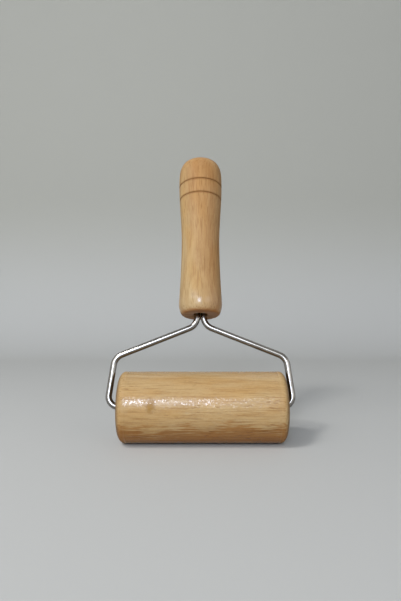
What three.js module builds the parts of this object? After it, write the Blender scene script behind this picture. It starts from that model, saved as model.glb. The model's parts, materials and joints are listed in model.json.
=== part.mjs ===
// One-hand pastry roller: a wooden barrel turning on a bent wire yoke that carries a turned wooden handle.
// Units are millimetres and +Z is up. The barrel lies on the floor along X and touches it at the origin.
// The yoke and the handle lean back, towards +Y, about the barrel's axis.

import * as THREE from 'three';

// Roller
const ROLLER_DIAMETER = 43;
const ROLLER_LENGTH = 101.5;
const ROLLER_EDGE_LENGTH = 4.2; // rounded edge of each end, along the axis
const ROLLER_EDGE_DEPTH = 5.2; // rounded edge of each end, towards the axis
const ROLLER_CREEP = 1.15; // the roller has crept this far along the axle, towards +X
const BORE_MOUTH_BEVEL = 0.5; // bevel of the bore's mouths, beyond the room that the wire's bends need

// Wire yoke, as drawn in its own plane
const WIRE_DIAMETER = 4;
const AXLE_CLEARANCE = 0.4; // radial, between the axle and the roller's bore
const ARM_STANDOFF = 6.58; // from the end of a centred roller out to the sharp corner of arm and axle
const AXLE_BEND_RADIUS = 6.5; // all bend radii are at the middle of the wire
const ARM_SPLAY = 6.1; // degrees, the arms spread towards the axle
const ELBOW_RISE = 9.2; // from the roller's surface up to the sharp corner of the elbow
const ELBOW_BEND_RADIUS = 8;
const SHOULDER_SLOPE = 22.1; // degrees from level
const LEG_BEND_RADIUS = 8;
const LEG_GAP = 0.3; // between the two legs in the handle
const LEG_SHOW = 1.35; // straight leg left bare under the handle
const LEG_DEPTH = 40; // length of the legs inside the handle
const YOKE_LEAN = 18; // degrees from upright

// Handle
const HANDLE_LENGTH = 112.3;
const FOOT_RADIUS = 14.15;
const FOOT_ROUND_HEIGHT = 8; // rounded lower edge, along the axis
const FOOT_ROUND_DEPTH = 3; // rounded lower edge, towards the axis
const WAIST_RADIUS = 12.75;
const WAIST_HEIGHT = 49; // above the foot
const HEAD_RADIUS = 14.85;
const HEAD_DROP = 16.2; // from the top down to the widest part of the head
const CROWN_FLAT_RADIUS = 5.5; // flat left on top of the rounded crown
const CROWN_FULLNESS = 3.05; // exponent of the crown's curve, 2 for an ellipse
const RING_COUNT = 2;
const RING_DROP = 19.7; // from the top down to the upper cut ring
const RING_PITCH = 10.1;
const RING_WIDTH = 1.1;
const RING_DEPTH = 0.5;
const LEG_CLEARANCE = 0.3; // between the legs and the wall of the handle's hole
const LEG_END_CLEARANCE = 1; // above the ends of the legs
const HOLE_MOUTH_BEVEL = 0.7;

// Fineness of the facets
const ROLLER_SIDES = 72;
const HANDLE_SIDES = 48;
const WIRE_SIDES = 14;
const BEND_STEP = 9; // degrees of bend from one ring of the wire to the next
const ROLLER_EDGE_STEPS = 5;
const FOOT_ROUND_STEPS = 6;
const LOWER_GRIP_STEPS = 9;
const UPPER_GRIP_STEPS = 14;
const CROWN_STEPS = 10;

// Sizes that follow from those above
const rollerRadius = ROLLER_DIAMETER / 2;
const wireRadius = WIRE_DIAMETER / 2;
const splay = THREE.MathUtils.degToRad(ARM_SPLAY);
const slope = THREE.MathUtils.degToRad(SHOULDER_SLOPE);
const axleTurn = Math.PI / 2 + splay;
const legTurn = Math.PI / 2 - slope;
const axleCornerX = ROLLER_LENGTH / 2 + ARM_STANDOFF;
const bendReach = Math.max(0, tangentLength(AXLE_BEND_RADIUS, axleTurn) + ROLLER_CREEP - ARM_STANDOFF);
const elbowZ = rollerRadius + ELBOW_RISE;
const elbowX = axleCornerX - elbowZ * Math.tan(splay);
const legX = (WIRE_DIAMETER + LEG_GAP) / 2;
const shoulderTopZ = elbowZ + (elbowX - legX) * Math.tan(slope);
const footZ = shoulderTopZ + tangentLength(LEG_BEND_RADIUS, legTurn) + LEG_SHOW;
const legEndZ = footZ + LEG_DEPTH;
const holeRadius = legX + wireRadius + LEG_CLEARANCE;
const holeDepth = LEG_DEPTH + LEG_END_CLEARANCE;
const headHeight = HANDLE_LENGTH - HEAD_DROP;

// Distance from a sharp corner to where a bend of this radius begins.
function tangentLength(radius, turn) {
  return radius * Math.tan(turn / 2);
}

// A run of points whose steps are taken as they stand, so that straight stretches need no points between.
class BentPath extends THREE.Curve {
  constructor(points) {
    super();
    this.points = points;
  }

  getPoint(t, target = new THREE.Vector3()) {
    const last = this.points.length - 1;
    const place = t * last;
    const from = Math.min(Math.floor(place), last - 1);
    return target.lerpVectors(this.points[from], this.points[from + 1], place - from);
  }

  getUtoTmapping(u) {
    return u;
  }
}

// Points of a round bend at a corner between two neighbours, from its first tangent point to its last.
function bendPoints(before, corner, after, radius) {
  const arriving = corner.clone().sub(before).normalize();
  const leaving = after.clone().sub(corner).normalize();
  const turn = arriving.angleTo(leaving);
  const start = corner.clone().addScaledVector(arriving, -tangentLength(radius, turn));
  const inward = leaving.clone().addScaledVector(arriving, -Math.cos(turn)).normalize();
  const steps = Math.ceil(THREE.MathUtils.radToDeg(turn) / BEND_STEP);
  const points = [];
  for (let step = 0; step <= steps; step += 1) {
    const angle = (turn * step) / steps;
    const along = radius * Math.sin(angle);
    const across = radius * (1 - Math.cos(angle));
    points.push(start.clone().addScaledVector(arriving, along).addScaledVector(inward, across));
  }
  return points;
}

// Middle line of the whole wire: down one leg, round the roller as its axle, and up the other leg.
function yokePath() {
  const side = (sign) => [
    { corner: new THREE.Vector3(sign * legX, 0, shoulderTopZ), radius: LEG_BEND_RADIUS },
    { corner: new THREE.Vector3(sign * elbowX, 0, elbowZ), radius: ELBOW_BEND_RADIUS },
    { corner: new THREE.Vector3(sign * axleCornerX, 0, 0), radius: AXLE_BEND_RADIUS },
  ];
  const bends = [...side(-1), ...side(1).reverse()];
  const start = new THREE.Vector3(-legX, 0, legEndZ);
  const end = new THREE.Vector3(legX, 0, legEndZ);
  const corners = [start, ...bends.map((bend) => bend.corner), end];
  const points = [start];
  bends.forEach((bend, index) => {
    points.push(...bendPoints(corners[index], bend.corner, corners[index + 2], bend.radius));
  });
  points.push(end);
  return new BentPath(points);
}

function wireYoke() {
  const rim = [];
  for (let side = 0; side < WIRE_SIDES; side += 1) {
    const angle = (2 * Math.PI * side) / WIRE_SIDES;
    rim.push(new THREE.Vector2(wireRadius * Math.cos(angle), wireRadius * Math.sin(angle)));
  }
  const path = yokePath();
  const options = { steps: path.points.length - 1, extrudePath: path, bevelEnabled: false };
  const geometry = new THREE.ExtrudeGeometry(new THREE.Shape(rim), options);
  const steel = new THREE.MeshStandardMaterial({ color: 0xb9b5ae, roughness: 0.25, metalness: 1 });
  return named('wire_yoke', geometry, steel);
}

// Outside radius of the handle at a height above its foot, between the rounded foot and the crown.
function gripRadius(height) {
  if (height < WAIST_HEIGHT) {
    const share = (WAIST_HEIGHT - height) / (WAIST_HEIGHT - FOOT_ROUND_HEIGHT);
    return WAIST_RADIUS + (FOOT_RADIUS - WAIST_RADIUS) * share ** 2;
  }
  return WAIST_RADIUS + (HEAD_RADIUS - WAIST_RADIUS)
    * THREE.MathUtils.smoothstep(height, WAIST_HEIGHT, headHeight);
}

function ringHeights() {
  const heights = [];
  for (let ring = 0; ring < RING_COUNT; ring += 1) {
    heights.push(HANDLE_LENGTH - RING_DROP - ring * RING_PITCH);
  }
  return heights.reverse();
}

// Grip outline from the rounded foot to the head, with the cut rings let into it.
function gripOutline() {
  const rings = ringHeights();
  const heights = [];
  for (let step = 1; step <= LOWER_GRIP_STEPS; step += 1) {
    heights.push(THREE.MathUtils.lerp(FOOT_ROUND_HEIGHT, WAIST_HEIGHT, step / LOWER_GRIP_STEPS));
  }
  for (let step = 1; step <= UPPER_GRIP_STEPS; step += 1) {
    heights.push(THREE.MathUtils.lerp(WAIST_HEIGHT, headHeight, step / UPPER_GRIP_STEPS));
  }
  const clear = heights.filter((height) => rings.every((ring) => Math.abs(height - ring) > RING_WIDTH));
  const outline = clear.map((height) => new THREE.Vector2(gripRadius(height), height));
  for (const ring of rings) {
    outline.push(new THREE.Vector2(gripRadius(ring - RING_WIDTH / 2), ring - RING_WIDTH / 2));
    outline.push(new THREE.Vector2(gripRadius(ring) - RING_DEPTH, ring));
    outline.push(new THREE.Vector2(gripRadius(ring + RING_WIDTH / 2), ring + RING_WIDTH / 2));
  }
  return outline.sort((a, b) => a.y - b.y);
}

// Rounded lower edge of the handle: a quarter of an ellipse from the foot's face to its full radius.
function footOutline() {
  const outline = [];
  for (let step = 0; step <= FOOT_ROUND_STEPS; step += 1) {
    const angle = (Math.PI / 2) * (step / FOOT_ROUND_STEPS);
    const radius = FOOT_RADIUS - FOOT_ROUND_DEPTH * (1 - Math.sin(angle));
    outline.push(new THREE.Vector2(radius, FOOT_ROUND_HEIGHT * (1 - Math.cos(angle))));
  }
  return outline;
}

// Crown of the handle: a quarter of a full-shouldered ellipse from the head to the flat on top.
function crownOutline() {
  const outline = [];
  for (let step = 1; step <= CROWN_STEPS; step += 1) {
    const angle = (Math.PI / 2) * (step / CROWN_STEPS);
    const rise = Math.sin(angle) ** (2 / CROWN_FULLNESS);
    const spread = Math.max(0, Math.cos(angle)) ** (2 / CROWN_FULLNESS);
    const radius = CROWN_FLAT_RADIUS + (HEAD_RADIUS - CROWN_FLAT_RADIUS) * spread;
    outline.push(new THREE.Vector2(radius, headHeight + HEAD_DROP * rise));
  }
  return outline;
}

function handle() {
  const outline = [
    new THREE.Vector2(0, holeDepth),
    new THREE.Vector2(holeRadius, holeDepth),
    new THREE.Vector2(holeRadius, HOLE_MOUTH_BEVEL),
    new THREE.Vector2(holeRadius + HOLE_MOUTH_BEVEL, 0),
    ...footOutline(),
    ...gripOutline(),
    ...crownOutline(),
    new THREE.Vector2(0, HANDLE_LENGTH),
  ];
  const geometry = new THREE.LatheGeometry(outline, HANDLE_SIDES);
  geometry.rotateX(Math.PI / 2);
  geometry.translate(0, 0, footZ);
  const wood = new THREE.MeshStandardMaterial({ color: 0xc39d6d, roughness: 0.4, metalness: 0 });
  return named('handle', geometry, wood);
}

// Height of the inner side of the axle's bend above the axle's middle line, at a distance past its start.
function bendInside(distance) {
  return AXLE_BEND_RADIUS - Math.sqrt((AXLE_BEND_RADIUS - wireRadius) ** 2 - distance ** 2);
}

// The flats of the barrel touch its true radius, so that it rests on one of them. The bore's mouths are wider
// than the bore, because the bend at the end to which the roller has crept begins inside it.
function roller() {
  const boreRadius = wireRadius + AXLE_CLEARANCE;
  const mouthDepth = bendReach + BORE_MOUTH_BEVEL;
  const mouthRadius = bendInside(bendReach) + AXLE_CLEARANCE + BORE_MOUTH_BEVEL;
  const flatToCorner = 1 / Math.cos(Math.PI / ROLLER_SIDES);
  const half = ROLLER_LENGTH / 2;
  const edge = [];
  for (let step = 0; step <= ROLLER_EDGE_STEPS; step += 1) {
    const angle = (Math.PI / 2) * (step / ROLLER_EDGE_STEPS);
    const radius = rollerRadius - ROLLER_EDGE_DEPTH * (1 - Math.cos(angle));
    edge.push(new THREE.Vector2(radius * flatToCorner, half - ROLLER_EDGE_LENGTH * (1 - Math.sin(angle))));
  }
  const otherEdge = edge.map((point) => new THREE.Vector2(point.x, -point.y)).reverse();
  const outline = [
    new THREE.Vector2(boreRadius, mouthDepth - half),
    new THREE.Vector2(mouthRadius, -half),
    ...otherEdge,
    ...edge,
    new THREE.Vector2(mouthRadius, half),
    new THREE.Vector2(boreRadius, half - mouthDepth),
    new THREE.Vector2(boreRadius, mouthDepth - half),
  ];
  const geometry = new THREE.LatheGeometry(outline, ROLLER_SIDES, Math.PI / ROLLER_SIDES);
  geometry.rotateZ(-Math.PI / 2);
  const wood = new THREE.MeshStandardMaterial({ color: 0xbe9c68, roughness: 0.4, metalness: 0 });
  const mesh = named('roller', geometry, wood);
  mesh.position.set(ROLLER_CREEP, 0, rollerRadius);
  return mesh;
}

function named(name, geometry, material) {
  const mesh = new THREE.Mesh(geometry, material);
  mesh.name = name;
  return mesh;
}

const leaning = new THREE.Group();
leaning.position.z = rollerRadius;
leaning.rotation.x = -THREE.MathUtils.degToRad(YOKE_LEAN);
leaning.add(handle(), wireYoke());

const pastryRoller = new THREE.Group();
pastryRoller.add(roller(), leaning);

export default pastryRoller;
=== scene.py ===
"""Dress a one-hand pastry roller: turned and varnished wood, a bent plated wire and a plain studio.

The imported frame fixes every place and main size. Each sub-assembly is a class that works out its surface as
whole numpy arrays, puts it into a mesh and dresses it with a procedural finish. Lengths are in metres. The
handle and the wire are worked out in the yoke's own frame, whose origin lies on the axle and whose Z runs up
the handle, and are leaned back into place at the end.
"""

from __future__ import annotations

import json
import logging
import math
from dataclasses import dataclass
from enum import Enum
from typing import Any, Mapping, Protocol, Sequence, Union

import bpy
import numpy as np
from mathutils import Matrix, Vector

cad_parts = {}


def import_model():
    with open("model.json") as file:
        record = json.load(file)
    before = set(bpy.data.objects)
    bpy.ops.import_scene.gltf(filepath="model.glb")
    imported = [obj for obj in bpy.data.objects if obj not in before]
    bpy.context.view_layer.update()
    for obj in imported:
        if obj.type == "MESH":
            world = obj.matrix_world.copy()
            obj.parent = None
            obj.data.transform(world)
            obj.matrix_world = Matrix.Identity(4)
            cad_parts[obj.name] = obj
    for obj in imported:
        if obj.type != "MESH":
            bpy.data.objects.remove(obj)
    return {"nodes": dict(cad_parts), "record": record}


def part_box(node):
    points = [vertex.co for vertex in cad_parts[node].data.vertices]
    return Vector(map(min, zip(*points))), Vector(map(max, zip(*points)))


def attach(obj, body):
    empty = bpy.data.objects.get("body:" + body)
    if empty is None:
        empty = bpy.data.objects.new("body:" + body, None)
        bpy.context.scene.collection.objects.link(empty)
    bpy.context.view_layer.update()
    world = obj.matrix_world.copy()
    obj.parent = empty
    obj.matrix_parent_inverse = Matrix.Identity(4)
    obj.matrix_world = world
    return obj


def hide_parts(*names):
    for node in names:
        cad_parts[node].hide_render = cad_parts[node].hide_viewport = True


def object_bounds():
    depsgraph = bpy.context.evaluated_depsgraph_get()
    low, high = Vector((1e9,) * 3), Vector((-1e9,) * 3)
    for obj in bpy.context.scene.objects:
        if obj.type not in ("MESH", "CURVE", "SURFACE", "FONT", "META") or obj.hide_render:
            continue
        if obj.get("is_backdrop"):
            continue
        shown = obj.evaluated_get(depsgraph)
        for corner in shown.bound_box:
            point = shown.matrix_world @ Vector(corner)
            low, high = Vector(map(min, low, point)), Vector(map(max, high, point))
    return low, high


LOG = logging.getLogger("pastry_roller")

Colour = tuple[int, int, int]
Pair = tuple[float, float]
Triple = tuple[float, float, float]
Value = Union["Socket", float, Sequence[float]]


def linear(colour: Colour) -> tuple[float, float, float, float]:
    """Turn a screen colour into the linear light that a shader takes.

    A channel c becomes ((c + 0.055) / 1.055) to the power 2.4, or c / 12.92 near black.

    Args:
        colour: Red, green and blue from 0 to 255.

    Returns:
        Linear red, green and blue from 0 to 1, and an alpha of 1.
    """
    screen = np.asarray(colour, float) / 255
    light = np.where(screen <= 0.04045, screen / 12.92, ((screen + 0.055) / 1.055) ** 2.4)
    return (*light.tolist(), 1.0)


class Blend(Enum):
    """How one colour goes over another."""

    MIX = "MIX"
    MULTIPLY = "MULTIPLY"


class Socket:
    """An output of a node: a value with Python's operators, or a place that patterns lie on."""

    def __init__(self, graph: Graph, output: bpy.types.NodeSocket) -> None:
        """Keep the graph and one of its outputs."""
        self.graph = graph
        self.output = output

    def _sum(self, operation: str, first: Value, second: Value = 0.0) -> Socket:
        """Add one Math node to the graph."""
        return self.graph.node("ShaderNodeMath", {"operation": operation}, {0: first, 1: second})

    def __add__(self, other: Value) -> Socket:
        """This value plus another."""
        return self._sum("ADD", self, other)

    def __radd__(self, other: Value) -> Socket:
        """Another value plus this one."""
        return self._sum("ADD", other, self)

    def __sub__(self, other: Value) -> Socket:
        """This value less another."""
        return self._sum("SUBTRACT", self, other)

    def __rsub__(self, other: Value) -> Socket:
        """Another value less this one."""
        return self._sum("SUBTRACT", other, self)

    def __mul__(self, other: Value) -> Socket:
        """This value times another."""
        return self._sum("MULTIPLY", self, other)

    def __rmul__(self, other: Value) -> Socket:
        """Another value times this one."""
        return self._sum("MULTIPLY", other, self)

    def __pow__(self, other: Value) -> Socket:
        """This value to a power."""
        return self._sum("POWER", self, other)

    def __rpow__(self, other: Value) -> Socket:
        """Another value to this power."""
        return self._sum("POWER", other, self)

    def __abs__(self) -> Socket:
        """This value without its sign."""
        return self._sum("ABSOLUTE", self)

    def at_least(self, other: Value) -> Socket:
        """The larger of this value and another."""
        return self._sum("MAXIMUM", self, other)

    def rising(self, low: float, high: float) -> Socket:
        """A smooth step, from 0 below low to 1 above high."""
        inputs = {"Value": self, "From Min": low, "From Max": high}
        return self.graph.node("ShaderNodeMapRange", {"interpolation_type": "SMOOTHSTEP"}, inputs)

    def falling(self, low: float, high: float) -> Socket:
        """A smooth step, from 1 below low to 0 above high."""
        return 1 - self.rising(low, high)

    def axis(self, name: str) -> Socket:
        """One coordinate of this place."""
        return self.graph.node("ShaderNodeSeparateXYZ", None, {0: self}, name)

    def _spread(self, size: Pair, seed: float) -> Socket:
        """This place divided by a size across and along the grain, and moved by a seed."""
        inputs = {0: self, 1: (1 / size[0], 1 / size[0], 1 / size[1]), 2: (seed, 2 * seed, 3 * seed)}
        return self.graph.node("ShaderNodeVectorMath", {"operation": "MULTIPLY_ADD"}, inputs)

    def noise(self, size: Pair, detail: float, seed: float) -> Socket:
        """Soft random values from 0 to 1 over this place.

        Args:
            size: Size of a feature across and along the grain, in metres.
            detail: How many finer layers are added.
            seed: Which part of the endless pattern is used.

        Returns:
            The noise's value.
        """
        inputs = {"Vector": self._spread(size, seed), "Scale": 1.0, "Detail": detail}
        return self.graph.node("ShaderNodeTexNoise", None, inputs)

    def cells(self, size: Pair, seed: float) -> Socket:
        """One random value from 0 to 1 for each of many small uneven cells over this place.

        Args:
            size: Size of a cell across and along the grain, in metres.
            seed: Which part of the endless pattern is used.

        Returns:
            The value of the cell.
        """
        inputs = {"Vector": self._spread(size, seed), "Scale": 1.0}
        colour = self.graph.node("ShaderNodeTexVoronoi", None, inputs, "Color")
        return self.graph.node("ShaderNodeSeparateColor", None, {0: colour}, "Red")


class Graph:
    """A node tree that expressions fill."""

    def __init__(self, tree: bpy.types.NodeTree) -> None:
        """Take over a tree and empty it."""
        self.tree = tree
        tree.nodes.clear()

    def node(
        self,
        kind: str,
        settings: Mapping[str, Any] | None = None,
        inputs: Mapping[str | int, Value] | None = None,
        output: str | int = 0,
    ) -> Socket:
        """Add a node of any kind.

        Args:
            kind: Blender's name of the node's type.
            settings: The node's own properties, set first. "stops" holds a ramp's places and colours.
            inputs: Numbers or links of the node's sockets.
            output: Which of the node's outputs is wanted.

        Returns:
            The wanted output.
        """
        made = self.tree.nodes.new(kind)
        for name, setting in (settings or {}).items():
            if name == "stops":
                self._set_stops(made.color_ramp, setting)
            else:
                setattr(made, name, setting)
        for name, value in (inputs or {}).items():
            if isinstance(value, Socket):
                self.tree.links.new(value.output, made.inputs[name])
            else:
                made.inputs[name].default_value = value
        return Socket(self, made.outputs[output] if made.outputs else None)

    @staticmethod
    def _set_stops(ramp: bpy.types.ColorRamp, stops: Sequence[tuple[float, Colour]]) -> None:
        """Set up a ramp.

        Args:
            ramp: The ramp of a new node.
            stops: Places, in rising order, and their screen colours.
        """
        while len(ramp.elements) < len(stops):
            ramp.elements.new(1.0)
        for element, (place, colour) in zip(ramp.elements, stops):
            element.position = place
            element.color = linear(colour)

    def mix(self, share: Value, first: Value, second: Value, blend: Blend = Blend.MIX) -> Socket:
        """Go from the first colour to the second by a share from 0 to 1."""
        settings = {"data_type": "RGBA", "blend_type": blend.value}
        return self.node("ShaderNodeMix", settings, {0: share, 6: first, 7: second}, output=2)

    def bump(self, height: Socket) -> Socket:
        """The surface's normal over a height in metres."""
        return self.node("ShaderNodeBump", None, {"Strength": 1.0, "Distance": 1.0, "Height": height})

    def surface(self, inputs: Mapping[str | int, Value]) -> None:
        """End a material's tree with one shader that has these inputs."""
        shader = self.node("ShaderNodeBsdfPrincipled", None, inputs)
        self.node("ShaderNodeOutputMaterial", None, {"Surface": shader})


def start_material(name: str) -> tuple[bpy.types.Material, Graph]:
    """Make a material.

    Args:
        name: The material's name.

    Returns:
        The material and the empty graph that fills it.
    """
    material = bpy.data.materials.new(name)
    material.use_nodes = True
    return material, Graph(material.node_tree)


def add_object(name: str, data: bpy.types.ID) -> bpy.types.Object:
    """Put a mesh, a lamp or a camera into the scene.

    Args:
        name: The object's name.
        data: What the object shows.

    Returns:
        The object.
    """
    made = bpy.data.objects.new(name, data)
    bpy.context.scene.collection.objects.link(made)
    return made


@dataclass(frozen=True)
class Varnish:
    """Clear coat of a wooden piece: how it shines, and how far it breaks up into specks."""

    weight: float
    roughness: float
    ior: float
    under_gloss: float
    under_roughness: float
    speck_size: float
    speck_share: float


@dataclass(frozen=True)
class Timber:
    """Colours and figure of the wood of one piece, cut beside the pith of its tree."""

    pale: Colour
    body: Colour
    dark: Colour
    pore: Colour
    end_grain: Colour
    pith: Pair
    slant: Pair
    ring_spacing: float
    ring_share: float
    pore_share: float
    line_share: float
    wander: float
    seed: float


@dataclass(frozen=True)
class HeartAndShade:
    """Darker heartwood tint on one side of a turned piece, which also paints in the shade that falls on that
    side.

    The side is given in degrees from the wood's X to its Y. The heart starts and is full at distances towards
    that side, counted in radii. The slant adds so many radii for each metre along the grain, and the edge is
    drawn out raggedly.
    """

    towards: float
    radius: float
    slant: float
    start: float
    full: float
    ragged: float
    tint: tuple[float, float, float, float]


@dataclass
class Skin:
    """What a finish works out for each point of a surface before the shader takes it."""

    place: Socket
    rings: Socket
    colour: Socket
    coat: Socket
    roughness: Socket

    def stain(self, share: Value, colour: Colour) -> None:
        """Take on another screen colour by a share from 0 to 1."""
        self.colour = self.colour.graph.mix(share, self.colour, linear(colour))


@dataclass(frozen=True)
class VarnishedWood:
    """Finish of a turned piece of hardwood under a clear varnish.

    The origin and the turn place the wood's own frame, whose Z runs along the grain.
    """

    name: str
    origin: Triple
    turn: Triple
    timber: Timber
    heart_and_shade: HeartAndShade
    varnish: Varnish

    PORE = (0.00060, 0.0060)
    PORE_EDGE = (0.63, 0.74)
    PORE_DEPTH = 0.00003
    THICK_EDGE = (0.36, 0.62)
    LINE = (0.00050, 0.016)
    LINE_EDGE = (0.58, 0.72)
    RING_EDGE = (0.28, 0.72)
    TONES = (0.34, 0.50, 0.66)
    STREAK = (0.0008, 0.018)
    STREAK_SHARE = 0.45
    BAND = (0.0030, 0.050)
    BAND_SHARE = 0.25
    FLECK = (0.00070, 0.0024)
    FLECK_SHARE = 0.30
    PATCH = (0.009, 0.026)
    PATCH_EDGE = (0.38, 0.68)
    PATCH_TINT = (0.98, 0.91, 0.80, 1.0)
    HEART_SHADE_DRAWN = (0.0010, 0.010)
    HEART_SHADE_DRAWN_SHARE = 0.8
    HEART_SHADE_SLOW = (0.024, 0.024)
    HEART_SHADE_SLOW_SHARE = 0.6
    HEART_SHADE_DRY = 0.8
    SPECK_STRETCH = 1.1
    SPECK_EDGE = (0.80, 0.90)
    GRAIN_ROUGH = 0.10
    WOOD_IOR = 1.45
    SOAK_DARK = 0.85
    SOAK_RINGS = 0.25

    def build(self) -> bpy.types.Material:
        """Make the material.

        Growth rings, bands, streaks and flecks set one tone, which a ramp turns into colour. Pores darken it,
        the heart side is tinted, partly as heartwood and partly as painted shade, and each piece adds its own
        marks. The wood under the varnish has a broad gloss of its own. The varnish over it is the shader's
        coat, thick in specks and thin between them.

        Returns:
            The material, ready for a piece.
        """
        material, graph = start_material(self.name)
        place = graph.node("ShaderNodeTexCoord", output="Object")
        inputs = {"Vector": place, "Location": self.origin, "Rotation": self.turn}
        place = graph.node("ShaderNodeMapping", {"vector_type": "TEXTURE"}, inputs)
        seed, share, varnish = self.timber.seed, self.timber.ring_share, self.varnish
        streak = place.noise(self.STREAK, 3.0, seed)
        band = place.noise(self.BAND, 2.0, seed + 3)
        fleck = place.noise(self.FLECK, 1.0, seed + 19)
        pores = self._pores(place)
        grain = self.STREAK_SHARE * streak + self.BAND_SHARE * band + self.FLECK_SHARE * fleck
        specks = place.cells((varnish.speck_size, self.SPECK_STRETCH * varnish.speck_size), seed + 7)
        rings = self._rings(place)
        skin = Skin(
            place,
            rings,
            colour=self._colour(place, share * rings + (1 - share) * grain, pores),
            coat=varnish.weight * (1 - varnish.speck_share * specks.falling(*self.SPECK_EDGE)),
            roughness=varnish.under_roughness + self.GRAIN_ROUGH * (0.5 - streak + pores),
        )
        self._tint_heart_and_shade(skin)
        self.mark(skin)
        graph.surface({
            "Base Color": skin.colour,
            "Roughness": skin.roughness,
            "IOR": self.WOOD_IOR,
            "Specular IOR Level": varnish.under_gloss,
            "Normal": graph.bump(-self.PORE_DEPTH * pores),
            "Coat Weight": skin.coat,
            "Coat Roughness": varnish.roughness,
            "Coat IOR": varnish.ior,
        })
        return material

    def _tint_heart_and_shade(self, skin: Skin) -> None:
        """Tint the heart side, which is painted shade as well as heartwood, and dry its varnish there.

        The share is a smooth step of the distance towards that side in radii, moved by a drawn-out noise and
        a slow one.

        Args:
            skin: What is worked out so far, whose colour and coat change.
        """
        heart_and_shade, place, turn = self.heart_and_shade, skin.place, math.radians(self.heart_and_shade.towards)
        right, up = math.cos(turn) / heart_and_shade.radius, math.sin(turn) / heart_and_shade.radius
        towards = right * place.axis("X") + up * place.axis("Y")
        drawn = self.HEART_SHADE_DRAWN_SHARE * (place.noise(self.HEART_SHADE_DRAWN, 3.0, self.timber.seed + 37) - 0.5)
        slow = self.HEART_SHADE_SLOW_SHARE * (place.noise(self.HEART_SHADE_SLOW, 1.0, self.timber.seed + 43) - 0.5)
        moved = towards + heart_and_shade.slant * place.axis("Z") + heart_and_shade.ragged * (drawn + slow)
        share = moved.rising(heart_and_shade.start, heart_and_shade.full)
        # Painted shade: the tint darkens the shaded side as well as giving it heartwood's tone, and the
        # duller varnish keeps that side dark.
        skin.colour = place.graph.mix(share, skin.colour, heart_and_shade.tint, Blend.MULTIPLY)
        skin.coat = skin.coat * (1 - self.HEART_SHADE_DRY * share)

    def _rings(self, place: Socket) -> Socket:
        """Growth rings of uneven width.

        The distance from the slanting pith, moved a little by a slow noise and divided by the ring spacing,
        runs through a noise of one dimension.

        Args:
            place: Where on the surface, in the wood's frame.

        Returns:
            A value from 0 in the dark of a ring to 1 in its pale part.
        """
        wood, along = self.timber, place.axis("Z")
        off_x = place.axis("X") - wood.pith[0] + wood.slant[0] * along
        off_y = place.axis("Y") - wood.pith[1] + wood.slant[1] * along
        slow = place.noise(self.PATCH, 2.0, wood.seed + 11)
        distance = (off_x * off_x + off_y * off_y) ** 0.5 + wood.wander * (slow - 0.5)
        inputs = {"W": distance, "Scale": 1 / wood.ring_spacing, "Detail": 2.0}
        band = place.graph.node("ShaderNodeTexNoise", {"noise_dimensions": "1D"}, inputs)
        return band.rising(*self.RING_EDGE)

    def _pores(self, place: Socket) -> Socket:
        """Short open pores: the peaks of a noise that is drawn out along the grain, in patches."""
        thick = place.noise(self.PATCH, 1.0, self.timber.seed + 13).rising(*self.THICK_EDGE)
        return place.noise(self.PORE, 1.0, self.timber.seed + 5).rising(*self.PORE_EDGE) * thick

    def _colour(self, place: Socket, tone: Socket, pores: Socket) -> Socket:
        """Colour of the bare wood: a ramp of the tone, warmed in patches and darkened in pores and lines.

        Args:
            place: Where on the surface, in the wood's frame.
            tone: How pale the wood is, from 0 to 1.
            pores: Where the pores are.

        Returns:
            The colour.
        """
        wood, graph = self.timber, place.graph
        stops = list(zip(self.TONES, (wood.dark, wood.body, wood.pale)))
        ramp = graph.node("ShaderNodeValToRGB", {"stops": stops}, {0: tone})
        patch = place.noise(self.PATCH, 1.0, wood.seed + 17).rising(*self.PATCH_EDGE)
        warm = graph.mix(patch, ramp, self.PATCH_TINT, Blend.MULTIPLY)
        lines = place.noise(self.LINE, 0.0, wood.seed + 23).rising(*self.LINE_EDGE)
        return graph.mix((wood.line_share * lines).at_least(wood.pore_share * pores), warm, linear(wood.pore))

    def soak(self, skin: Skin, share: Socket) -> None:
        """Darken the end grain by a share, a little less in the pale part of each ring."""
        skin.stain(share * (self.SOAK_DARK - self.SOAK_RINGS * skin.rings), self.timber.end_grain)

    def mark(self, skin: Skin) -> None:
        """Add the marks that only one piece has.

        Args:
            skin: What is worked out so far, which the marks change.
        """


@dataclass(frozen=True)
class HandleWood(VarnishedWood):
    """The handle's finish, with burnt rings and darker end grain at both ends.

    A burn's edge is counted in ring widths from the cut, and the pool's edge in metres above the foot.
    """

    foot: float
    top: float
    rings: tuple[float, ...]
    ring_width: float
    burnt: Colour
    pooled: float

    FOOT_SOAK = 0.0024
    CROWN_SOAK = 0.0050
    CROWN_SHARE = 0.30
    SOAK_DRY = 0.8
    BURN_EDGE = (0.25, 1.50)
    BURN_SHARE = 0.45
    BURN_DRY = 0.7
    POOL_EDGE = (0.008, 0.016)

    def mark(self, skin: Skin) -> None:
        """Soak the end grain at both ends, burn the cut rings and let the varnish gather above the foot.

        Args:
            skin: What is worked out so far, which the marks change.
        """
        along = skin.place.axis("Z")
        crown = along.rising(self.top - self.CROWN_SOAK, self.top)
        soaked = along.falling(self.foot, self.foot + self.FOOT_SOAK).at_least(self.CROWN_SHARE * crown)
        self.soak(skin, soaked)
        for ring in self.rings:
            burn = abs(along - ring).falling(*(share * self.ring_width for share in self.BURN_EDGE))
            skin.stain(self.BURN_SHARE * burn, self.burnt)
            skin.coat = skin.coat * (1 - self.BURN_DRY * burn)
        pool = along.falling(*(self.foot + place for place in self.POOL_EDGE))
        skin.coat = (skin.coat + self.pooled * pool) * (1 - self.SOAK_DRY * soaked)


@dataclass(frozen=True)
class Knot:
    """A small knot in the surface, in the wood's frame."""

    centre: Triple
    across: float
    along: float
    colour: Colour
    rim: Colour


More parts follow.
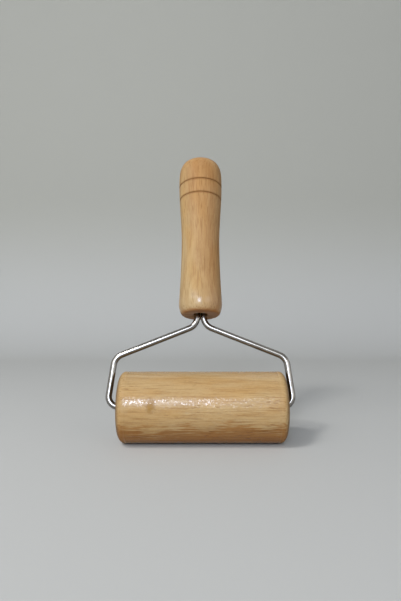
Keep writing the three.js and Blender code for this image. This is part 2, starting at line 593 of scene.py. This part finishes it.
@dataclass(frozen=True)
class RollerWood(VarnishedWood):
    """The roller's finish, with darker ends and one small knot.

    The edges of the knot and its rim are counted in the knot's half-sizes.
    """

    half_length: float
    edge_length: float
    knot: Knot

    SOAK_DARK = 0.92
    SOAK_RINGS = 0.35
    SOAKED = (0.70, 0.05)
    WORN = (1.30, 0.90)
    WORN_ROUGH = 0.35
    KNOT_NOISE = (0.0016, 0.0022)
    KNOT_SEED = 31.0
    KNOT_RAGGED = 1.7
    KNOT_EDGE = (0.10, 1.25)
    KNOT_SHARE = 0.90
    KNOT_DRY = 0.9
    KNOT_ROUGH = 0.12
    RIM_INNER = (0.20, 0.75)
    RIM_OUTER = (0.75, 1.40)
    RIM_SHARE = 0.25

    def mark(self, skin: Skin) -> None:
        """Soak the end grain, wear the varnish off the rounded ends and set the knot into the front.

        Args:
            skin: What is worked out so far, which the marks change.
        """
        self.soak(skin, self._near_end(skin.place, self.SOAKED))
        far = self._from_knot(skin.place)
        inside = far.falling(*self.KNOT_EDGE)
        skin.stain(self.KNOT_SHARE * inside, self.knot.colour)
        rim = far.rising(*self.RIM_INNER) * far.falling(*self.RIM_OUTER)
        skin.stain(self.RIM_SHARE * rim, self.knot.rim)
        worn = self._near_end(skin.place, self.WORN)
        skin.coat = skin.coat * (1 - worn) * (1 - self.KNOT_DRY * inside)
        skin.roughness = skin.roughness + self.WORN_ROUGH * worn + self.KNOT_ROUGH * inside

    def _near_end(self, place: Socket, edge: Pair) -> Socket:
        """A smooth step towards either end, between two places counted in edge lengths from it."""
        low, high = (self.half_length - share * self.edge_length for share in edge)
        return abs(place.axis("Z")).rising(low, high)

    def _from_knot(self, place: Socket) -> Socket:
        """Distance from the knot's middle in its own half-sizes, made ragged by a noise.

        Args:
            place: Where on the surface, in the wood's frame.

        Returns:
            The distance.
        """
        size = (1 / self.knot.across, 1 / self.knot.across, 1 / self.knot.along)
        far = place
        for operation, other in (("SUBTRACT", self.knot.centre), ("MULTIPLY", size)):
            far = place.graph.node("ShaderNodeVectorMath", {"operation": operation}, {0: far, 1: other})
        far = place.graph.node("ShaderNodeVectorMath", {"operation": "LENGTH"}, {0: far}, "Value")
        return far + self.KNOT_RAGGED * (place.noise(self.KNOT_NOISE, 2.0, self.KNOT_SEED) - 0.5)


@dataclass(frozen=True)
class PlatedWire:
    """Finish of bright plated steel wire with faint drawing lines."""

    name: str
    colour: Colour
    dull: Colour
    roughness: float

    LINE = (0.00022, 0.030)
    LINE_HEIGHT = 0.000004
    LINE_ROUGH = 0.06
    CLOUD = (0.006, 0.012)
    CLOUD_EDGE = (0.45, 0.80)
    CLOUD_ROUGH = 0.05

    def build(self) -> bpy.types.Material:
        """Make the material.

        The wire's own straightened coordinates carry long thin lines for the drawing and soft clouds for
        handling, which change the colour and the roughness a little.

        Returns:
            The material, ready for the wire.
        """
        material, graph = start_material(self.name)
        place = graph.node("ShaderNodeAttribute", {"attribute_name": WireYoke.STRAIGHT}, None, "Vector")
        lines = place.noise(self.LINE, 2.0, 2.0)
        clouds = place.noise(self.CLOUD, 2.0, 5.0)
        graph.surface({
            "Base Color": graph.mix(clouds.rising(*self.CLOUD_EDGE), linear(self.colour), linear(self.dull)),
            "Metallic": 1.0,
            "Roughness": self.roughness + self.LINE_ROUGH * (lines - 0.5) + self.CLOUD_ROUGH * clouds,
            "Normal": graph.bump(self.LINE_HEIGHT * lines),
        })
        return material


class Ends(Enum):
    """How the first and last rings of a tube are closed."""

    JOINED = "joined to each other"
    CAPPED = "each closed by a fan to its middle"


def tube_mesh(name: str, rings: np.ndarray, ends: Ends) -> bpy.types.Mesh:
    """Make a closed mesh from a grid of rings.

    Point (i, j) is joined to (i + 1, j) and (i, j + 1). The second direction always closes on itself.

    Args:
        name: The mesh's name.
        rings: Points, as an array of rings by sides by 3. The sides turn so that faces point outwards.
        ends: How the first and last rings are closed.

    Returns:
        The mesh, smooth shaded.
    """
    count, sides, _ = rings.shape
    numbers = np.arange(count * sides).reshape(count, sides)
    turned = np.roll(numbers, -1, axis=1)
    quads = np.stack([numbers, turned, np.roll(turned, -1, axis=0), np.roll(numbers, -1, axis=0)], axis=-1)
    held = count if ends is Ends.JOINED else count - 1
    points, faces = rings.reshape(-1, 3), quads[:held].reshape(-1, 4).tolist()
    if ends is Ends.CAPPED:
        first, last = len(points), len(points) + 1
        points = np.concatenate([points, rings[[0, -1]].mean(axis=1)])
        opening = np.stack([turned[0], numbers[0], np.full(sides, first)], axis=-1)
        closing = np.stack([numbers[-1], turned[-1], np.full(sides, last)], axis=-1)
        faces += opening.tolist() + closing.tolist()
    mesh = bpy.data.meshes.new(name)
    mesh.from_pydata(points.tolist(), [], faces)
    mesh.polygons.foreach_set("use_smooth", np.ones(len(mesh.polygons), bool))
    mesh.update()
    return mesh


def revolve(outline: np.ndarray, sides: int) -> np.ndarray:
    """Turn an outline round the Z axis.

    Point (i, j) is (r cos a, r sin a, h) for outline point i at radius r and height h, and for the angle
    a = 2 pi j / sides.

    Args:
        outline: Radius and height of each point, as an array of points by 2.
        sides: How many steps make the full turn.

    Returns:
        Points, as an array of outline points by sides by 3.
    """
    angle = np.linspace(0, 2 * np.pi, sides, endpoint=False)
    radius, height = outline[:, :1], np.broadcast_to(outline[:, 1:], (len(outline), sides))
    return np.stack([radius * np.cos(angle), radius * np.sin(angle), height], axis=-1)


@dataclass(frozen=True)
class Leaning:
    """The yoke's frame: its origin is on the axle and its Z runs up the handle."""

    origin: np.ndarray
    lean: float

    @classmethod
    def of_record(cls, record: Mapping[str, Any]) -> Leaning:
        """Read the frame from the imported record.

        Args:
            record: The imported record. Its joint gives the axle, and its mount the handle's direction.

        Returns:
            The frame.
        """
        joint = record["behaviour"]["joints"][0]
        butt = next(mount for mount in record["mounts"] if mount["name"] == "handle_butt")
        return cls(np.array(joint["pos_m"], float), math.atan2(butt["axis"][1], butt["axis"][2]))

    @property
    def up(self) -> np.ndarray:
        """Direction of the frame's Z."""
        return np.array([0.0, math.sin(self.lean), math.cos(self.lean)])

    def place(self, points: np.ndarray) -> np.ndarray:
        """Move points from this frame to the object's.

        Args:
            points: Points in this frame, with their three coordinates last.

        Returns:
            The same points in the object's frame.
        """
        back = np.array([0.0, math.cos(self.lean), -math.sin(self.lean)])
        right = np.array([1.0, 0.0, 0.0])
        return self.origin + points @ np.stack([right, back, self.up])

    def reach(self, node: bpy.types.Object) -> Pair:
        """Measure a node along the frame's Z.

        Args:
            node: A node of the frame.

        Returns:
            Least and greatest distance of its points from the axle.
        """
        points = np.empty(3 * len(node.data.vertices), np.float32)
        node.data.vertices.foreach_get("co", points)
        along = (points.reshape(-1, 3) - self.origin) @ self.up
        return float(along.min()), float(along.max())


class Finish(Protocol):
    """Anything that can make a material."""

    def build(self) -> bpy.types.Material:
        """Make the material."""


class Piece:
    """A visible piece that stands for one node of the frame."""

    name: str
    node: str
    body: str
    slot: str

    def mesh(self) -> bpy.types.Mesh:
        """Work out the piece's mesh, in the object's frame."""
        raise NotImplementedError

    def finish(self) -> Finish:
        """Choose the piece's finish."""
        raise NotImplementedError

    def build(self) -> None:
        """Make the piece, dress it and put it in the place of its node."""
        made = add_object(self.name, self.mesh())
        made.data.materials.append(self.finish().build())
        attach(made, self.body)
        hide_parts(self.node)
        LOG.info("%s: %d faces on body %s", self.name, len(made.data.polygons), self.body)


@dataclass
class Handle(Piece):
    """Turned handle: a rounded foot with a hole, a slim waist, two cut rings and a full crown."""

    leaning: Leaning
    foot: float
    top: float
    name: str = "handle_turning"
    node: str = "handle"
    body: str = "grip"
    slot: str = "handle_wood"
    foot_radius: float = 0.01415
    foot_round_height: float = 0.0080
    foot_round_depth: float = 0.0030
    foot_sliver: float = 0.04
    waist_radius: float = 0.01275
    waist_height: float = 0.0490
    head_radius: float = 0.01485
    head_drop: float = 0.0162
    crown_flat_radius: float = 0.0055
    crown_fullness: float = 3.05
    ring_count: int = 2
    ring_drop: float = 0.0197
    ring_pitch: float = 0.0101
    ring_width: float = 0.0011
    ring_depth: float = 0.0005
    ring_reach: float = 0.7
    hole_radius: float = 0.00445
    hole_depth: float = 0.0410
    hole_mouth_bevel: float = 0.0007
    edge_softness: float = 0.0002
    foot_steps: int = 26
    grip_steps: int = 60
    ring_steps: int = 15
    crown_steps: int = 30
    sides: int = 144

    @property
    def length(self) -> float:
        """Length from the foot to the top."""
        return self.top - self.foot

    @property
    def rings(self) -> np.ndarray:
        """Heights of the cut rings above the foot, the upper one first."""
        return self.length - self.ring_drop - self.ring_pitch * np.arange(self.ring_count)

    def grip_radius(self, height: np.ndarray) -> np.ndarray:
        """Outside radius between the rounded foot and the crown.

        Below the waist the radius grows with the square of the distance from it. Above the waist it grows by
        a smooth step up to the head. Each cut ring takes away half a wave of its depth over its width.

        Args:
            height: Heights above the foot.

        Returns:
            Radius at each height.
        """
        above = height - self.waist_height
        low = np.clip(above / (self.foot_round_height - self.waist_height), 0, 1)
        high = np.clip(above / (self.length - self.head_drop - self.waist_height), 0, 1)
        radius = self.waist_radius + (self.foot_radius - self.waist_radius) * low**2
        radius = radius + (self.head_radius - self.waist_radius) * high**2 * (3 - 2 * high)
        phase = np.clip((height[:, None] - self.rings) / self.ring_width, -0.5, 0.5)
        return radius - self.ring_depth * (np.cos(np.pi * phase) ** 2).sum(axis=1)

    def outline(self) -> np.ndarray:
        """Outline from the bottom of the hole, out over the foot and up to the crown.

        The foot's edge is a quarter of an ellipse, less a sliver at its start. The crown is a quarter of a
        superellipse, with sine and cosine raised to 2 over its fullness. Points stand close beside each ring.

        Returns:
            Radius and height of each point, as an array of points by 2.
        """
        soft, mouth = self.edge_softness, self.hole_radius + self.hole_mouth_bevel
        face = self.foot_radius - self.foot_round_depth
        hole = np.array([
            [self.hole_radius - soft, self.hole_depth],
            [self.hole_radius, self.hole_depth - soft],
            [self.hole_radius, self.hole_mouth_bevel + soft],
            [self.hole_radius + soft, self.hole_mouth_bevel - soft],
            [mouth - soft, soft],
            [mouth + soft, 0],
            [face - soft, 0],
        ])
        turn = np.linspace(self.foot_sliver, 0.5, self.foot_steps) * np.pi
        foot = np.stack([
            self.foot_radius - self.foot_round_depth * (1 - np.sin(turn)),
            self.foot_round_height * (1 - np.cos(turn)),
        ], axis=-1)
        head = self.length - self.head_drop
        even = np.linspace(self.foot_round_height, head, self.grip_steps)[1:]
        beside = np.linspace(-self.ring_reach, self.ring_reach, self.ring_steps) * self.ring_width
        heights = np.union1d(even, (self.rings[:, None] + beside).ravel())
        grip = np.stack([self.grip_radius(heights), heights], axis=-1)
        turn = np.linspace(0, 0.5, self.crown_steps)[1:] * np.pi
        share = 2 / self.crown_fullness
        crown = np.stack([
            self.crown_flat_radius
            + (self.head_radius - self.crown_flat_radius) * np.maximum(np.cos(turn), 0) ** share,
            head + self.head_drop * np.sin(turn) ** share,
        ], axis=-1)
        return np.concatenate([hole, foot, grip, crown])

    def mesh(self) -> bpy.types.Mesh:
        """Turn the outline round the handle's axis and lean it back.

        Returns:
            The handle's mesh.
        """
        rings = revolve(self.outline(), self.sides)
        rings[..., 2] += self.foot
        return tube_mesh(self.name, self.leaning.place(rings), Ends.CAPPED)

    def finish(self) -> Finish:
        """Warm varnished wood with burnt rings."""
        return HandleWood(
            name="handle_wood",
            origin=tuple(self.leaning.origin.tolist()),
            turn=(-self.leaning.lean, 0.0, 0.0),
            timber=Timber(
                pale=(181, 155, 113), body=(176, 149, 107), dark=(167, 137, 97), pore=(135, 103, 66),
                end_grain=(150, 98, 54), pith=(0.004, 0.034), slant=(0.02, 0.05), ring_spacing=0.0024,
                ring_share=0.20, pore_share=0.35, line_share=0.50, wander=0.0030, seed=4.0,
            ),
            # Heart tint on the right side, growing towards the head: painted shade on the right side, and a
            # browner heartwood tone.
            heart_and_shade=HeartAndShade(
                towards=0.0, radius=self.waist_radius, slant=12.0, start=0.38, full=1.63, ragged=0.4,
                tint=(0.89, 0.75, 0.66, 1.0),
            ),
            varnish=Varnish(
                weight=0.02, roughness=0.07, ior=1.45, under_gloss=0.05, under_roughness=0.45,
                speck_size=0.0014, speck_share=0.3,
            ),
            foot=self.foot,
            top=self.top,
            rings=tuple((self.foot + self.rings).tolist()),
            ring_width=self.ring_width,
            burnt=(115, 73, 37),
            pooled=0.80,
        )


@dataclass
class Roller(Piece):
    """Barrel along X with softly rounded ends and a bore for the axle."""

    centre: np.ndarray
    radius: float
    half_length: float
    name: str = "roller_barrel"
    node: str = "roller"
    body: str = "roller"
    slot: str = "roller_wood"
    edge_length: float = 0.0042
    edge_depth: float = 0.0052
    bore_radius: float = 0.0024
    bore_mouth_radius: float = 0.00328
    bore_mouth_depth: float = 0.0023
    edge_softness: float = 0.0002
    knot_rise: float = math.radians(13)
    knot_place: float = -0.0300
    edge_steps: int = 24
    barrel_steps: int = 40
    sides: int = 216

    def outline(self) -> np.ndarray:
        """Closed outline of the wall: out over one end, along the barrel, and back through the bore.

        Each edge is a quarter of an ellipse.

        Returns:
            Radius and place along the axis of each point, as an array of points by 2.
        """
        soft, half = self.edge_softness, self.half_length
        turn = np.linspace(0.5, 0, self.edge_steps) * np.pi
        edge = np.stack([
            self.radius - self.edge_depth * (1 - np.cos(turn)),
            half - self.edge_length * (1 - np.sin(turn)),
        ], axis=-1)
        mouth = self.bore_mouth_radius
        end = np.array([
            [self.bore_radius, half - self.bore_mouth_depth],
            [mouth - soft, half - soft],
            [mouth + soft, half],
        ])
        far = np.concatenate([end, edge])
        near = far * np.array([1.0, -1.0])
        barrel = np.linspace(-1, 1, self.barrel_steps)[1:-1] * (half - self.edge_length)
        wall = np.stack([np.full_like(barrel, self.radius), barrel], axis=-1)
        return np.concatenate([near, wall, far[::-1]])

    def mesh(self) -> bpy.types.Mesh:
        """Turn the outline round the axle: its Z becomes the object's X."""
        rings = revolve(self.outline(), self.sides)
        return tube_mesh(self.name, self.centre + rings[..., [2, 0, 1]], Ends.JOINED)

    def finish(self) -> Finish:
        """Pale varnished wood with a knot in front and soaked ends."""
        up, out = self.radius * math.sin(self.knot_rise), self.radius * math.cos(self.knot_rise)
        return RollerWood(
            name="roller_wood",
            origin=tuple(self.centre.tolist()),
            turn=(0.0, math.pi / 2, 0.0),
            timber=Timber(
                pale=(180, 153, 109), body=(174, 144, 99), dark=(162, 128, 83), pore=(128, 91, 49),
                end_grain=(100, 77, 54), pith=(0.012, 0.030), slant=(0.015, 0.01), ring_spacing=0.0026,
                ring_share=0.16, pore_share=0.95, line_share=0.42, wander=0.0026, seed=9.0,
            ),
            # Heart tint on the lower front: painted shade of the roller's underside, and a browner heartwood
            # side.
            heart_and_shade=HeartAndShade(
                towards=-42.0, radius=self.radius, slant=0.0, start=0.81, full=0.99, ragged=0.8,
                tint=(0.72, 0.53, 0.37, 1.0),
            ),
            varnish=Varnish(
                weight=1.0, roughness=0.12, ior=1.65, under_gloss=0.19, under_roughness=0.26,
                speck_size=0.00058, speck_share=0.90,
            ),
            half_length=self.half_length,
            edge_length=self.edge_length,
            knot=Knot(
                centre=(-up, -out, self.knot_place), across=0.0042, along=0.0030, colour=(146, 109, 50),
                rim=(120, 86, 44),
            ),
        )


@dataclass
class WireYoke(Piece):
    """One bent wire: two legs in the handle, two shoulders, two arms and the axle between them."""

    leaning: Leaning
    foot: float
    roller_radius: float
    roller_half_length: float
    name: str = "yoke_wire"
    node: str = "wire_yoke"
    body: str = "grip"
    slot: str = "plated_wire"
    wire_radius: float = 0.0020
    arm_standoff: float = 0.00658
    axle_bend_radius: float = 0.0065
    arm_splay: float = math.radians(6.1)
    elbow_rise: float = 0.0092
    elbow_bend_radius: float = 0.0080
    shoulder_slope: float = math.radians(22.1)
    leg_bend_radius: float = 0.0080
    leg_gap: float = 0.0003
    leg_depth: float = 0.0400
    bend_step: float = math.radians(3)
    straight_step: float = 0.004
    sides: int = 40

    STRAIGHT = "straightened"

    def corners(self) -> tuple[np.ndarray, np.ndarray]:
        """Sharp corners of the wire's middle line in the yoke's plane, and the radius of each bend.

        Returns:
            Places across and up of the two free ends and the six corners between them, and six radii.
        """
        axle_x = self.roller_half_length + self.arm_standoff
        elbow_z = self.roller_radius + self.elbow_rise
        elbow_x = axle_x - elbow_z * math.tan(self.arm_splay)
        leg_x = self.wire_radius + self.leg_gap / 2
        shoulder_z = elbow_z + (elbow_x - leg_x) * math.tan(self.shoulder_slope)
        right = np.array([
            [axle_x, 0], [elbow_x, elbow_z], [leg_x, shoulder_z], [leg_x, self.foot + self.leg_depth]
        ])
        left = right[::-1] * np.array([-1.0, 1.0])
        radii = [self.leg_bend_radius, self.elbow_bend_radius, self.axle_bend_radius]
        return np.concatenate([left, right]), np.array(radii + radii[::-1])

    def path(self) -> np.ndarray:
        """Points along the wire's middle line, in the yoke's plane.

        A bend of radius r and turn t starts r tan(t / 2) before its corner. Its point at angle a lies
        r sin(a) onwards and r (1 - cos(a)) inwards. Straight stretches are stepped evenly.

        Returns:
            Points across and up, as an array of points by 2.
        """
        corners, radii = self.corners()
        steps = np.diff(corners, axis=0)
        ways = steps / np.linalg.norm(steps, axis=1, keepdims=True)
        stretches = [corners[:1]]
        for corner, radius, arriving, leaving in zip(corners[1:-1], radii, ways[:-1], ways[1:]):
            turn = math.acos(float(arriving @ leaving))
            start = corner - arriving * radius * math.tan(turn / 2)
            inward = leaving - arriving * math.cos(turn)
            inward = inward / np.linalg.norm(inward)
            angle = np.linspace(0, turn, math.ceil(turn / self.bend_step) + 1)[:, None]
            bend = start + radius * (arriving * np.sin(angle) + inward * (1 - np.cos(angle)))
            stretches += [self._straight(stretches[-1][-1], start), bend]
        stretches += [self._straight(stretches[-1][-1], corners[-1]), corners[-1:]]
        return np.concatenate(stretches)

    def _straight(self, start: np.ndarray, end: np.ndarray) -> np.ndarray:
        """Evenly spaced points strictly between two ends."""
        count = max(2, math.ceil(float(np.linalg.norm(end - start)) / self.straight_step))
        return start + np.linspace(0, 1, count + 1)[1:-1, None] * (end - start)

    def mesh(self) -> bpy.types.Mesh:
        """Carry a circle along the middle line.

        Point (i, j) is path point i plus the wire's radius times (cos a n + sin a b), where n is the path's
        normal in the yoke's plane, b is the plane's own normal and a = 2 pi j / sides. An attribute keeps
        where each point would lie on the straightened wire.

        Returns:
            The wire's mesh, leaned into place.
        """
        path = self.path()
        way = np.gradient(path, axis=0)
        way = way / np.linalg.norm(way, axis=1, keepdims=True)
        angle = np.linspace(0, 2 * np.pi, self.sides, endpoint=False)
        out, side = self.wire_radius * np.cos(angle), self.wire_radius * np.sin(angle)
        across = path[:, :1] - way[:, 1:] * out
        up = path[:, 1:] + way[:, :1] * out
        depth = np.broadcast_to(side, across.shape)
        rings = np.stack([across, -depth, up], axis=-1)
        mesh = tube_mesh(self.name, self.leaning.place(rings), Ends.CAPPED)
        length = np.concatenate([[0.0], np.linalg.norm(np.diff(path, axis=0), axis=1).cumsum()])
        drawn = np.stack([
            np.broadcast_to(out, across.shape), depth, np.broadcast_to(length[:, None], across.shape)
        ], axis=-1).reshape(-1, 3)
        ends = np.array([[0.0, 0.0, length[0]], [0.0, 0.0, length[-1]]])
        straight = mesh.attributes.new(self.STRAIGHT, "FLOAT_VECTOR", "POINT")
        straight.data.foreach_set("vector", np.concatenate([drawn, ends]).astype(np.float32).ravel())
        return mesh

    def finish(self) -> Finish:
        """Bright plating."""
        return PlatedWire("plated_wire", colour=(143, 140, 136), dull=(125, 121, 117), roughness=0.12)


@dataclass(frozen=True)
class Softbox:
    """A soft rectangular lamp, placed by direction from the object and set by how brightly it lights it."""

    name: str
    azimuth: float
    elevation: float
    wide: float
    high: float
    distance: float
    light: float
    tint: Triple = (1.0, 1.0, 1.0)

    def build(self, target: Vector) -> None:
        """Hang the lamp and point it at the object.

        The lamp's edges lie at the given angles. Its power is pi squared times the squared distance times the
        light that falls on a surface facing it, where a light of 1 shows a colour as it is written.

        Args:
            target: The point that the lamp faces.
        """
        turn, rise = math.radians(self.azimuth), math.radians(self.elevation)
        away = Vector((math.sin(turn) * math.cos(rise), -math.cos(turn) * math.cos(rise), math.sin(rise)))
        lamp = bpy.data.lights.new(self.name, "AREA")
        lamp.shape = "RECTANGLE"
        lamp.size = 2 * self.distance * math.tan(math.radians(self.wide) / 2)
        lamp.size_y = 2 * self.distance * math.tan(math.radians(self.high) / 2)
        lamp.energy = math.pi**2 * self.distance**2 * self.light
        lamp.color = self.tint
        made = add_object(self.name, lamp)
        made.location = target + away * self.distance
        made.rotation_mode = "QUATERNION"
        made.rotation_quaternion = away.to_track_quat("Z", "Y")
        made.visible_camera = False


@dataclass(frozen=True)
class Studio:
    """Plain pale floor that sweeps up behind the object, soft lamps and a dim room."""

    floor: Colour = (187, 187, 183)
    wall: Colour = (166, 165, 156)
    room_low: Colour = (84, 84, 86)
    room_high: Colour = (104, 105, 107)
    ceiling_edge: Pair = (0.35, 0.85)
    half_width: float = 2.2
    front: float = -2.2
    back: float = 0.72
    bend: float = 0.30
    height: float = 0.8
    floor_roughness: float = 0.8
    floor_gloss: float = 0.2
    sweep_steps: int = 24
    lamps: tuple[Softbox, ...] = (
        Softbox("window_softbox", -12.0, 24.0, 40.0, 34.0, 3.0, 0.42, (0.96, 1.0, 1.06)),
        Softbox("core_softbox", -7.0, 24.0, 16.0, 17.0, 2.9, 0.21, (0.86, 1.0, 1.34)),
        Softbox("bulb_softbox", -8.0, 24.0, 6.0, 6.0, 2.9, 0.025, (0.9, 1.0, 1.2)),
        Softbox("key_softbox", -42.0, 48.0, 10.0, 10.0, 0.95, 0.42),
        Softbox("soft_key_softbox", -44.0, 40.0, 32.0, 24.0, 2.6, 0.20),
        Softbox("side_softbox", 42.0, 25.0, 28.0, 20.0, 2.4, 0.08),
        Softbox("right_fill_softbox", 70.0, 14.0, 90.0, 50.0, 2.4, 0.20),
        Softbox("left_fill_softbox", -78.0, 14.0, 90.0, 50.0, 2.4, 0.16),
        Softbox("back_softbox", 165.0, 50.0, 44.0, 30.0, 2.4, 0.06),
    )

    def build(self, target: Vector) -> None:
        """Make the floor, the lamps and the room.

        Args:
            target: The point that the lamps face.
        """
        self._sweep()
        self._room()
        for lamp in self.lamps:
            lamp.build(target)
        bpy.context.scene.view_settings.view_transform = "Standard"

    def _sweep(self) -> None:
        """Floor and backdrop in one sheet.

        A flat run, a quarter circle and an upright run are carried across X.
        """
        turn = np.linspace(0, np.pi / 2, self.sweep_steps)
        curve = np.stack([
            self.back - self.bend + self.bend * np.sin(turn), self.bend * (1 - np.cos(turn))
        ], axis=-1)
        line = np.concatenate([[[self.front, 0.0]], curve, [[self.back, self.height]]])
        sides = np.array([-self.half_width, self.half_width])
        across, depth = np.broadcast_arrays(sides, line[:, :1])
        points = np.stack([across, depth, np.broadcast_to(line[:, 1:], depth.shape)], axis=-1).reshape(-1, 3)
        row = 2 * np.arange(len(line) - 1)[:, None]
        mesh = bpy.data.meshes.new("studio_floor")
        mesh.from_pydata(points.tolist(), [], (row + np.array([0, 1, 3, 2])).tolist())
        mesh.polygons.foreach_set("use_smooth", np.ones(len(mesh.polygons), bool))
        material, graph = start_material("studio_floor")
        height = graph.node("ShaderNodeTexCoord", output="Object").axis("Z")
        graph.surface({
            "Base Color": graph.mix(height.rising(0.0, self.bend), linear(self.floor), linear(self.wall)),
            "Roughness": self.floor_roughness,
            "Specular IOR Level": self.floor_gloss,
        })
        mesh.materials.append(material)
        made = add_object("studio_floor", mesh)
        made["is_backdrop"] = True

    def _room(self) -> None:
        """Light from dim walls under a brighter ceiling, a smooth step of the direction's height.

        The camera, and what mirrors or lets through its view, sees the floor's pale colour instead.
        """
        world = bpy.data.worlds.new("studio_room")
        world.use_nodes = True
        bpy.context.scene.world = world
        graph = Graph(world.node_tree)
        height = graph.node("ShaderNodeTexCoord", output="Generated").axis("Z")
        seen = graph.node("ShaderNodeLightPath", output="Is Camera Ray")
        for view in ("Is Glossy Ray", "Is Transmission Ray"):
            seen = seen.at_least(graph.node("ShaderNodeLightPath", output=view))
        share = height.rising(*self.ceiling_edge)
        room = graph.mix(share, linear(self.room_low), linear(self.room_high))
        shown = graph.mix(seen, room, linear(self.floor))
        back = graph.node("ShaderNodeBackground", None, {"Color": shown})
        graph.node("ShaderNodeOutputWorld", None, {"Surface": back})


@dataclass(frozen=True)
class PhotoCamera:
    """Level camera in front of the object, at the photograph's viewing angle."""

    distance: float = 0.314
    height: float = 0.0867
    focal_pixels: float = 512.0
    frame_height_pixels: float = 601.0
    sensor: float = 36.0

    def build(self) -> None:
        """Place the camera so that it looks along +Y."""
        lens = bpy.data.cameras.new("photo_camera")
        lens.sensor_width = self.sensor
        lens.lens = self.sensor * self.focal_pixels / self.frame_height_pixels
        made = add_object("photo_camera", lens)
        made.location = (0.0, -self.distance, self.height)
        made.rotation_euler = (math.pi / 2, 0.0, 0.0)
        bpy.context.scene.camera = made


def main() -> None:
    """Load the frame, build the camera, the pieces and the studio."""
    logging.basicConfig(level=logging.INFO, format="%(name)s: %(message)s")
    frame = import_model()
    cad_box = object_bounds()
    PhotoCamera().build()
    leaning = Leaning.of_record(frame["record"])
    foot, top = leaning.reach(frame["nodes"]["handle"])
    low, high = (np.array(corner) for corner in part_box("roller"))
    radius, half_length = float(high[2] - low[2]) / 2, float(high[0] - low[0]) / 2
    pieces: list[Piece] = [
        Handle(leaning, foot, top),
        Roller((low + high) / 2, radius, half_length),
        WireYoke(leaning, foot, radius, half_length),
    ]
    for piece in pieces:
        piece.build()
    Studio().build((cad_box[0] + cad_box[1]) / 2)


if __name__ == "__main__":
    main()
